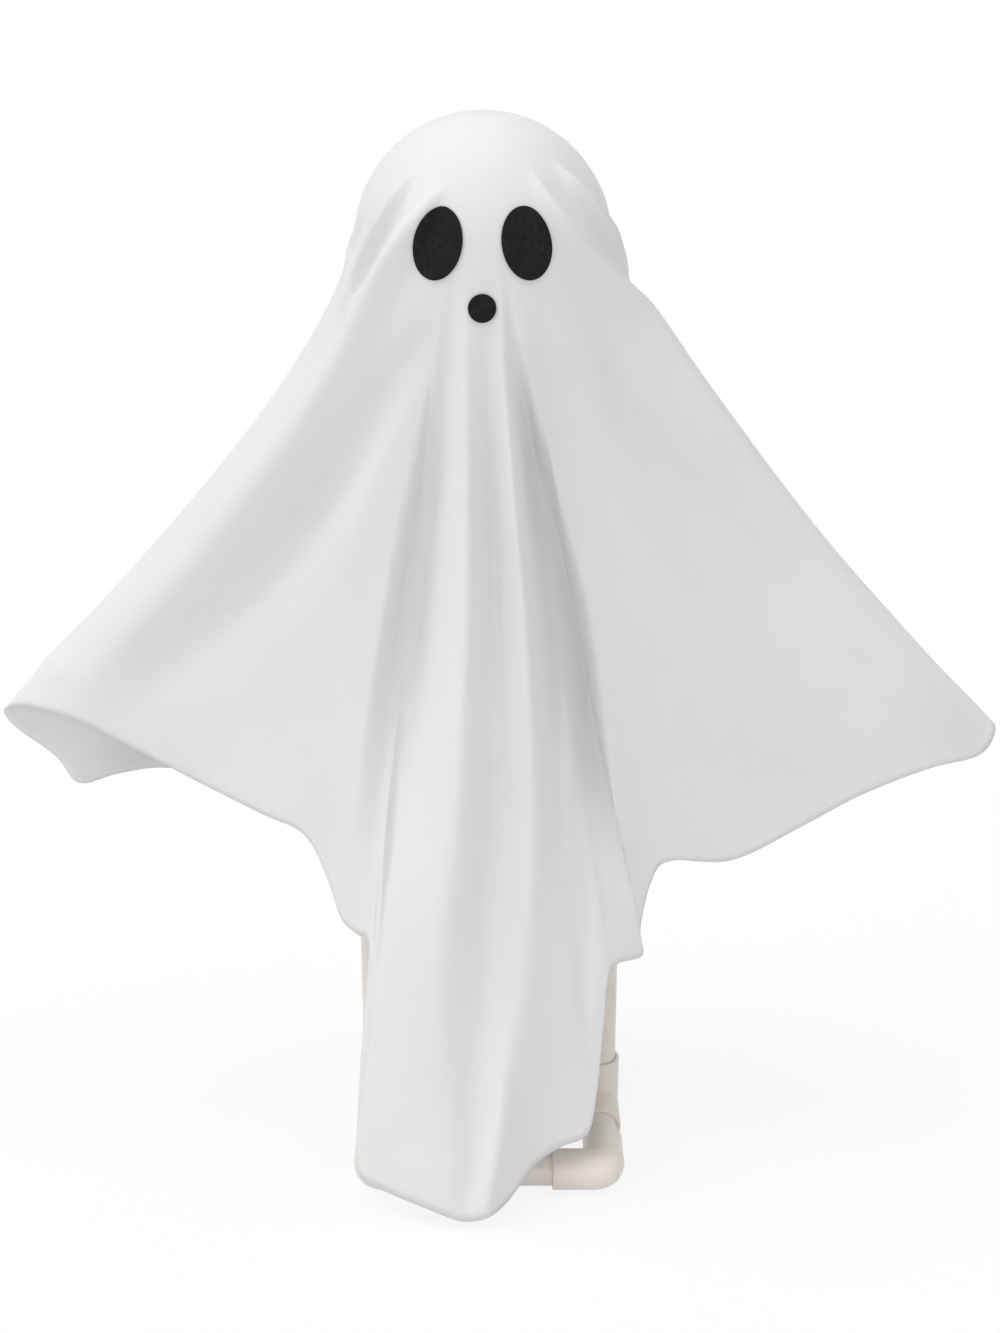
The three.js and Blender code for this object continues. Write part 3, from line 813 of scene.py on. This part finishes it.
# Crests and hollows of the cloth, each with the way that it stands out and points of:
# azimuth, level, height, half width on its right and on its left, in millimetres
ahead = (0.05, -1.0, 0.0)
off = None                      # square off the face of the cloth
strokes = {
    "leftBrow": (off, [(-109.6, 0.640, 0, 5, 5), (-113.7, 0.721, 6.5, 6, 5),
        (-119.1, 0.820, 11, 8, 6), (-128.5, 0.955, 13.5, 11, 8), (-135.1, 1.048, 15, 13, 9),
        (-138.1, 1.108, 15.5, 15, 11), (-139.7, 1.172, 15, 16, 14), (-143.1, 1.276, 15, 18, 18),
        (-144.8, 1.384, 15, 20, 22), (-146.7, 1.496, 14, 22, 24), (-147.5, 1.632, 12.5, 22, 24),
        (-148.7, 1.772, 9, 22, 24), (-149.4, 1.916, 4, 22, 20)]),
    "leftBrowInner": (off, [(-130.5, 0.559, 0, 4, 4), (-131.7, 0.676, 7, 4.5, 4.5),
        (-136.0, 0.802, 11, 4.5, 5), (-143.1, 0.946, 12, 5, 6), (-147.5, 1.040, 10, 5, 7),
        (-147.2, 1.096, 5, 6, 8), (-146.5, 1.136, 0, 7, 8)]),
    "leftTemple": (off, [(-153.3, 0.649, 0, 4, 4), (-159.1, 0.829, 4, 4, 4),
        (-165.1, 1.004, 5, 4, 4), (-156.2, 1.076, 0, 5, 5)]),
    "rightBrow": (off, [(-63.4, 0.568, 0, 5, 5), (-58.9, 0.712, 6.5, 5, 7),
        (-52.0, 0.847, 11, 6, 9), (-38.3, 1.000, 12.5, 7, 11), (-28.6, 1.060, 12.5, 8, 13),
        (-20.2, 1.116, 13, 10, 15), (-19.3, 1.184, 14, 13, 16), (-20.0, 1.280, 14.5, 15, 16),
        (-20.0, 1.376, 13.5, 17, 17), (-20.2, 1.476, 10.5, 18, 18), (-22.8, 1.612, 6, 20, 20),
        (-24.2, 1.736, 3, 24, 24), (-25.1, 1.852, 0, 22, 22)]),
    "rightTemple": (off, [(-44.7, 0.550, 0, 4, 4), (-39.8, 0.649, 7, 4.5, 4.5),
        (-32.4, 0.784, 11, 5, 4.5), (-20.5, 0.910, 11, 6, 5), (-11.7, 1.020, 7, 7, 5),
        (-13.4, 1.072, 0, 7, 6)]),
    "leftSleeveHollow": (off, [(-112.8, 1.076, 0, 14, 12), (-117.9, 1.132, -7, 16, 12),
        (-127.2, 1.232, -12, 18, 13), (-131.4, 1.332, -15, 20, 15), (-134.4, 1.436, -16, 22, 15),
        (-137.2, 1.568, -15, 24, 16), (-140.4, 1.712, -11, 24, 16), (-142.9, 1.864, -5, 24, 16)]),
    "rightSleeveHollow": (off, [(-47.4, 1.084, 0, 12, 14), (-43.9, 1.156, -6, 12, 16),
        (-44.7, 1.244, -11, 13, 18), (-42.6, 1.340, -13, 14, 22), (-40.3, 1.440, -13, 15, 24),
        (-39.4, 1.564, -12, 15, 24), (-39.0, 1.684, -9, 16, 24), (-38.8, 1.812, -4, 16, 24)]),
    "rightWingCrest": (off, [(-66.0, 1.056, 0, 9, 9), (-58.7, 1.104, 1.5, 10, 10),
        (-53.1, 1.164, 1.8, 12, 12), (-44.7, 1.296, 0, 14, 14)]),
    "rightArm": (ahead, [(-32.4, 1.576, 0, 30, 30), (-32.0, 1.688, 6, 35, 30),
        (-31.4, 1.800, 11, 40, 30), (-31.1, 1.868, 11, 40, 30), (-28.4, 1.924, 6, 35, 30),
        (-25.1, 1.976, 0, 20, 20)]),
    "tailCrest": (ahead, [(-88.8, 1.772, 0, 9, 9), (-89.9, 1.828, 4, 9, 9),
        (-90.2, 1.884, 7, 9, 9), (-90.7, 1.924, 8, 9, 9), (-91.3, 1.960, 8, 9, 9),
        (-91.5, 1.984, 7, 9, 9)]),
    "tailHollow": (ahead, [(-93.8, 1.744, 0, 10, 10), (-93.2, 1.812, -3, 10, 10),
        (-92.6, 1.880, -6, 10, 10), (-92.6, 1.936, -7, 10, 10), (-92.9, 1.976, -7, 10, 10)]),
}

drape = {
    "headX": -0.0035,
    "headZ": 0.753,
    "radius": 0.096,
    "sag": 0.42,                # how far the hanging cloth hollows below the head
    "sagPower": 1.5,
    "foldFoot": 1.6,            # a fold's foot in half widths
    "columns": 440,
    "headRings": 38,
    "headEase": 0.75,           # its rings stand closer together below the crown
    "skirtRings": 72,
    "softSteps": 40,
    "softBand": 0.22,           # softened within so many levels of the ball's widest ring
    "softShare": 0.5,
    "pleatFade": 0.06,          # the share of the drop over which a pleat's line fades out
    "pleatStep": 0.25,          # degrees
    "pleatSoft": (9, 17),       # rings and steps over which its edges are rounded
    "strokeSteps": 16,          # samples from one point of a stroke to the next
    "strokeSoft": 19,           # samples over which its corners are rounded
    "strokeReach": 3,           # and widths after which it ends
    "merge": 1e-5,
    "smooth": 0.5,
    "crease": 80,
    "thickness": 0.0006,
    "ballRoom": 0.0943,         # the outer face stays this far from the ball's middle
    "pipeRoom": 0.0186,         # and this far from the middle of an arm
    "pipeBlend": 0.055,         # at the back it rises over an arm from this far off
    "blendDepth": 0.010,        # and fully so from this far behind the arm's middle
}


# A smooth closed run through the stations, at places given in stations
def throughStations(values, places):
    whole = np.floor(places).astype(int)
    part = places - whole
    a, b, c, d = (values[(whole + step) % len(values)] for step in (-1, 0, 1, 2))
    if values.ndim > 1:
        part = part[:, None]
    return 0.5 * (2 * b + (c - a) * part + (2 * a - 5 * b + 4 * c - d) * part ** 2
                  + (3 * b - a - 3 * c + d) * part ** 3)


# Azimuths fall all the way round, so they are run as steps from an even turn
def azimuths(places):
    count = len(hem)
    even = -360.0 / count
    steps = np.array([row[0] for row in hem]) - even * np.arange(count)
    return throughStations(steps, places) + even * places


def hemPoints(places):
    return throughStations(np.array([row[1:] for row in hem]) / 1000, places)


# The cloth's outer face: level 0 is the crown, 1 the ball's widest ring and 2 the hem
def clothPoints(places, levels):
    angle = np.radians(azimuths(places))
    outward = np.stack([np.cos(angle), np.sin(angle), 0 * angle], 1)
    centre = np.array([drape["headX"], 0, drape["headZ"]])
    rim = centre + drape["radius"] * outward
    edge = hemPoints(places)
    along = hemPoints(places + 1) - hemPoints(places - 1)
    square = np.stack([along[:, 1], -along[:, 0], 0 * angle], 1)
    square /= np.linalg.norm(square, axis=1)[:, None]
    rows = []
    for level in levels:
        if level <= 1:
            tilt = level * math.pi / 2
            ring = math.sin(tilt) * outward + np.array([0, 0, math.cos(tilt)])
            rows.append(centre + drape["radius"] * ring)
            continue
        drop = level - 1
        spread = drop - drape["sag"] * drop * (1 - drop) ** drape["sagPower"]
        row = rim + (edge - rim) * spread
        row[:, 2] = rim[:, 2] + (edge[:, 2] - rim[:, 2]) * drop
        push = np.zeros(len(places))
        for (top, middle, foot), halfWidth, depth in folds:
            line = top + (foot - top) * drop + (middle - (top + foot) / 2) * 4 * drop * (1 - drop)
            turn = azimuths(places) - line
            turn = np.abs(turn - 360 * np.round(turn / 360)) / (drape["foldFoot"] * halfWidth)
            rise = depth / 1000 * drop * np.cos(np.minimum(turn, 1) * math.pi / 2) ** 2
            push += np.where(turn < 1, rise, 0)
        rows.append(row + square * push[:, None])
    return np.array(rows)


# The cloth before its strokes, softened where it leaves the ball
def plainCloth(places, levels):
    grid = clothPoints(places, levels)
    share = np.clip(1 - np.abs(np.array(levels) - 1) / drape["softBand"], 0, 1)[:, None, None]
    for _ in range(drape["softSteps"]):
        lack = (grid[:-2] + grid[2:]) / 2 - grid[1:-1]
        grid[1:-1] += drape["softShare"] * share[1:-1] * lack
    return grid


def outwardNormals(grid):
    around = np.roll(grid, -1, axis=1) - np.roll(grid, 1, axis=1)
    normals = np.cross(around, np.gradient(grid, axis=0))
    return normals / np.maximum(np.linalg.norm(normals, axis=2), 1e-9)[:, :, None]


# The pleats run straight from line to line at each level, with their edges rounded
def pleatPush(turns, levels):
    raster = np.arange(-180, 0, drape["pleatStep"])
    push = np.zeros((len(levels), len(raster)))
    for row, level in enumerate(levels):
        marks = []
        for line in pleats.values():
            azimuth, knots, heights = zip(*line)
            past = max(knots[0] - level, level - knots[-1]) / drape["pleatFade"]
            height = np.interp(level, knots, heights) * np.clip(1 - past, 0, 1)
            marks.append((np.interp(level, knots, azimuth), height))
        push[row] = np.interp(raster, *zip(*marks), left=0, right=0)
    for axis, count in enumerate(drape["pleatSoft"]):
        soft = np.hanning(count + 2)[1:-1]
        padded = np.pad(push, [(count // 2,) * 2 if axis == i else (0, 0) for i in (0, 1)], "edge")
        push = np.apply_along_axis(np.convolve, axis, padded, soft / soft.sum(), "valid")
    spots = np.mod(turns + 270, 360) - 270
    push = np.array([np.interp(spots, raster, row, left=0, right=0) for row in push])
    return push[:, :, None] * np.array(ahead) / 1000


# Samples of one stroke: its spots on the grid, the way to its right, height and widths
def strokeSamples(path, turns, levels, grid):
    knots = np.array(path, float)
    steps = np.linspace(0, len(knots) - 1, drape["strokeSteps"] * (len(knots) - 1) + 1)
    rows = [np.interp(steps, np.arange(len(knots)), row) for row in knots.T]
    soft = np.hanning(drape["strokeSoft"])
    soft /= soft.sum()
    azimuth, level, *sizes = (np.convolve(np.pad(row, len(soft) // 2, "edge"), soft, "valid")
                              for row in rows)
    column = np.interp(np.mod(turns[0] - azimuth, 360), turns[0] - turns, np.arange(len(turns)))
    row = np.interp(level, levels, np.arange(len(levels)))
    i = np.minimum(row.astype(int), len(levels) - 2)
    j = np.minimum(column.astype(int), len(turns) - 2)
    u, v = (row - i)[:, None], (column - j)[:, None]
    spots = ((grid[i, j] * (1 - v) + grid[i, j + 1] * v) * (1 - u)
             + (grid[i + 1, j] * (1 - v) + grid[i + 1, j + 1] * v) * u)
    along = np.gradient(spots, axis=0)
    along /= np.linalg.norm(along, axis=1)[:, None]
    across = grid[i, j] - grid[i, j + 1]
    across -= along * (along * across).sum(1)[:, None]
    across /= np.linalg.norm(across, axis=1)[:, None]
    height, right, left = (size / 1000 for size in sizes)
    return spots, across, height, right, left


def strokePush(grid, turns, levels):
    push = np.zeros(grid.shape)
    normals = outwardNormals(grid).reshape(-1, 3)
    flatGrid = grid.reshape(-1, 3)
    for way, path in strokes.values():
        spots, across, height, right, left = strokeSamples(path, turns, levels, grid)
        reach = drape["strokeReach"] * max(right.max(), left.max())
        low, high = spots.min(0) - reach, spots.max(0) + reach
        near = np.nonzero(((flatGrid > low) & (flatGrid < high)).all(1))[0]
        gaps = np.linalg.norm(flatGrid[near, None] - spots[None], axis=2)
        best = gaps.argmin(1)
        side = ((flatGrid[near] - spots[best]) * across[best]).sum(1)
        share = np.clip(0.5 + side / np.minimum(right, left)[best], 0, 1)
        width = left[best] + (right - left)[best] * share
        rise = height[best] * np.exp(-(gaps.min(1) / width) ** 2)
        ways = normals[near] if way is off else np.array(way)
        push.reshape(-1, 3)[near] += rise[:, None] * ways
    return push


def buildCloth():
    columns = drape["columns"]
    head, skirt = drape["headRings"], drape["skirtRings"]
    levels = [(i / head) ** drape["headEase"] for i in range(head + 1)]
    levels += [1 + i / skirt for i in range(1, skirt + 1)]
    places = np.arange(columns + 1) * (len(hem) / columns)
    turns = azimuths(places)
    grid = plainCloth(places, levels)
    grid += strokePush(grid, turns, levels) + pleatPush(turns, levels)
    grid[:, -1] = grid[:, 0]
    grid[0] = grid[0, 0]
    shape = bmesh.new()
    bmesh.ops.create_grid(shape, x_segments=columns, y_segments=len(levels) - 1, size=1)
    order = sorted(shape.verts, key=lambda vert: (round(vert.co.y, 6), round(vert.co.x, 6)))
    placeOf = {vert: divmod(index, columns + 1) for index, vert in enumerate(order)}
    lengths = np.vstack([np.zeros(columns + 1),
                         np.cumsum(np.linalg.norm(np.diff(grid, axis=0), axis=2), axis=0)])
    flat = np.stack([lengths * np.cos(np.radians(turns)), lengths * np.sin(np.radians(turns))], 2)
    layer = shape.loops.layers.uv.new("cut")
    for item in shape.faces:
        for loop in item.loops:
            loop[layer].uv = flat[placeOf[loop.vert]]
    for vert, place in placeOf.items():
        vert.co = grid[place]
    bmesh.ops.remove_doubles(shape, verts=shape.verts[:], dist=drape["merge"])
    bmesh.ops.recalc_face_normals(shape, faces=shape.faces[:])
    clearOfStand(shape)
    bmesh.ops.smooth_vert(shape, verts=shape.verts[:], factor=drape["smooth"],
                          use_axis_x=True, use_axis_y=True, use_axis_z=True)
    clearOfStand(shape)
    area = sum(item.calc_area() for item in shape.faces)
    cloth = addPiece(toMesh(shape), "drapedSheet", "sheet", "draped_sheet", jersey,
                     drape["crease"])
    return cloth, area


# How far the cloth stays from an arm's middle, at a point away from it
def armRoom(away):
    room, blend = drape["pipeRoom"], drape["pipeBlend"]
    if away.y <= 0 or away.length >= blend:
        return room
    lifted = room + (blend - room) * (away.length / blend) ** 2
    share = min(away.y / drape["blendDepth"], 1)
    return max(away.length + (max(lifted, away.length) - away.length) * share, room)


# Pushes the cloth out of the ball and the arms
def clearOfStand(shape):
    centre = Vector((drape["headX"], 0, drape["headZ"]))
    arms = [armLine(side) for side in (-1, 1)]
    length = (stand["halfBendStop"] + stand["socketDepth"] + stand["armPipe"]
              + stand["socketDepth"] + stand["capWall"])
    moved = 0
    for vert in shape.verts:
        away = vert.co - centre
        if away.length < drape["ballRoom"]:
            vert.co = centre + away.normalized() * drape["ballRoom"]
            moved += 1
        for bend, slope in arms:
            along = min(max((vert.co - bend).dot(slope), 0), length)
            near = bend + slope * along
            away = vert.co - near
            room = armRoom(away)
            if away.length < room:
                vert.co = near + away.normalized() * room
                moved += 1
    print("cloth points moved off the stand", moved)


cloth, clothArea = buildCloth()
clothTree = BVHTree.FromObject(cloth, bpy.context.evaluated_depsgraph_get())
clothWall = cloth.modifiers.new("wall", "SOLIDIFY")
clothWall.thickness = drape["thickness"]
clothWall.offset = -1
print("cloth done, area", round(clothArea, 4))

# The felt face

ghostFace = {
    "eyeWidth": 0.0345,
    "eyeHeight": 0.0508,
    "eyeApart": 0.062,
    "eyeLift": 0.0134,
    "eyeLean": math.radians(12),
    "mouthWidth": 0.0200,
    "mouthDrop": 0.030,
    "thickness": 0.0012,
    "gap": 0.00035,
    "segments": 26,
    "castFrom": -0.4,           # the rays that find the cloth start here, ahead of it
    "crease": 60,
    "edge": 0.0004,             # width of the bevel round the cut edge
    "edgeSteps": 2,
    "edgeAngle": math.radians(50),
}


# A flat oval of felt laid onto the cloth from the front
def addFelt(name, node, width, height, x, z, lean):
    shape = bmesh.new()
    steps = ghostFace["segments"]
    bmesh.ops.create_grid(shape, x_segments=steps, y_segments=steps, size=1)
    for vert in shape.verts:
        across = vert.co.x * math.sqrt(1 - vert.co.y ** 2 / 2) * width / 2
        rise = vert.co.y * math.sqrt(1 - vert.co.x ** 2 / 2) * height / 2
        turnedX = across * math.cos(lean) - rise * math.sin(lean)
        turnedZ = across * math.sin(lean) + rise * math.cos(lean)
        start = Vector((x + turnedX, ghostFace["castFrom"], z + turnedZ))
        hit, normal, _, _ = clothTree.ray_cast(start, Vector((0, 1, 0)))
        vert.co = hit + normal * ghostFace["gap"]
    bmesh.ops.recalc_face_normals(shape, faces=shape.faces[:])
    shape.normal_update()
    if sum(item.normal.y for item in shape.faces) > 0:
        bmesh.ops.reverse_faces(shape, faces=shape.faces[:])
    piece = addPiece(toMesh(shape), name, node, "draped_sheet", felt, ghostFace["crease"])
    wall = piece.modifiers.new("wall", "SOLIDIFY")
    wall.thickness = ghostFace["thickness"]
    wall.offset = 1
    soft = piece.modifiers.new("soft", "BEVEL")
    soft.width = ghostFace["edge"]
    soft.segments = ghostFace["edgeSteps"]
    soft.limit_method = "ANGLE"
    soft.angle_limit = ghostFace["edgeAngle"]
    return piece


def addEye(name, node, side):
    return addFelt(name, node, ghostFace["eyeWidth"], ghostFace["eyeHeight"],
                   drape["headX"] + side * ghostFace["eyeApart"] / 2,
                   drape["headZ"] + ghostFace["eyeLift"], side * ghostFace["eyeLean"])


leftEye = addEye("leftEye", "left_eye", -1)
rightEye = addEye("rightEye", "right_eye", 1)
mouth = addFelt("mouthDisc", "mouth", ghostFace["mouthWidth"], ghostFace["mouthWidth"],
                drape["headX"], drape["headZ"] - ghostFace["mouthDrop"], 0)
print("face done")
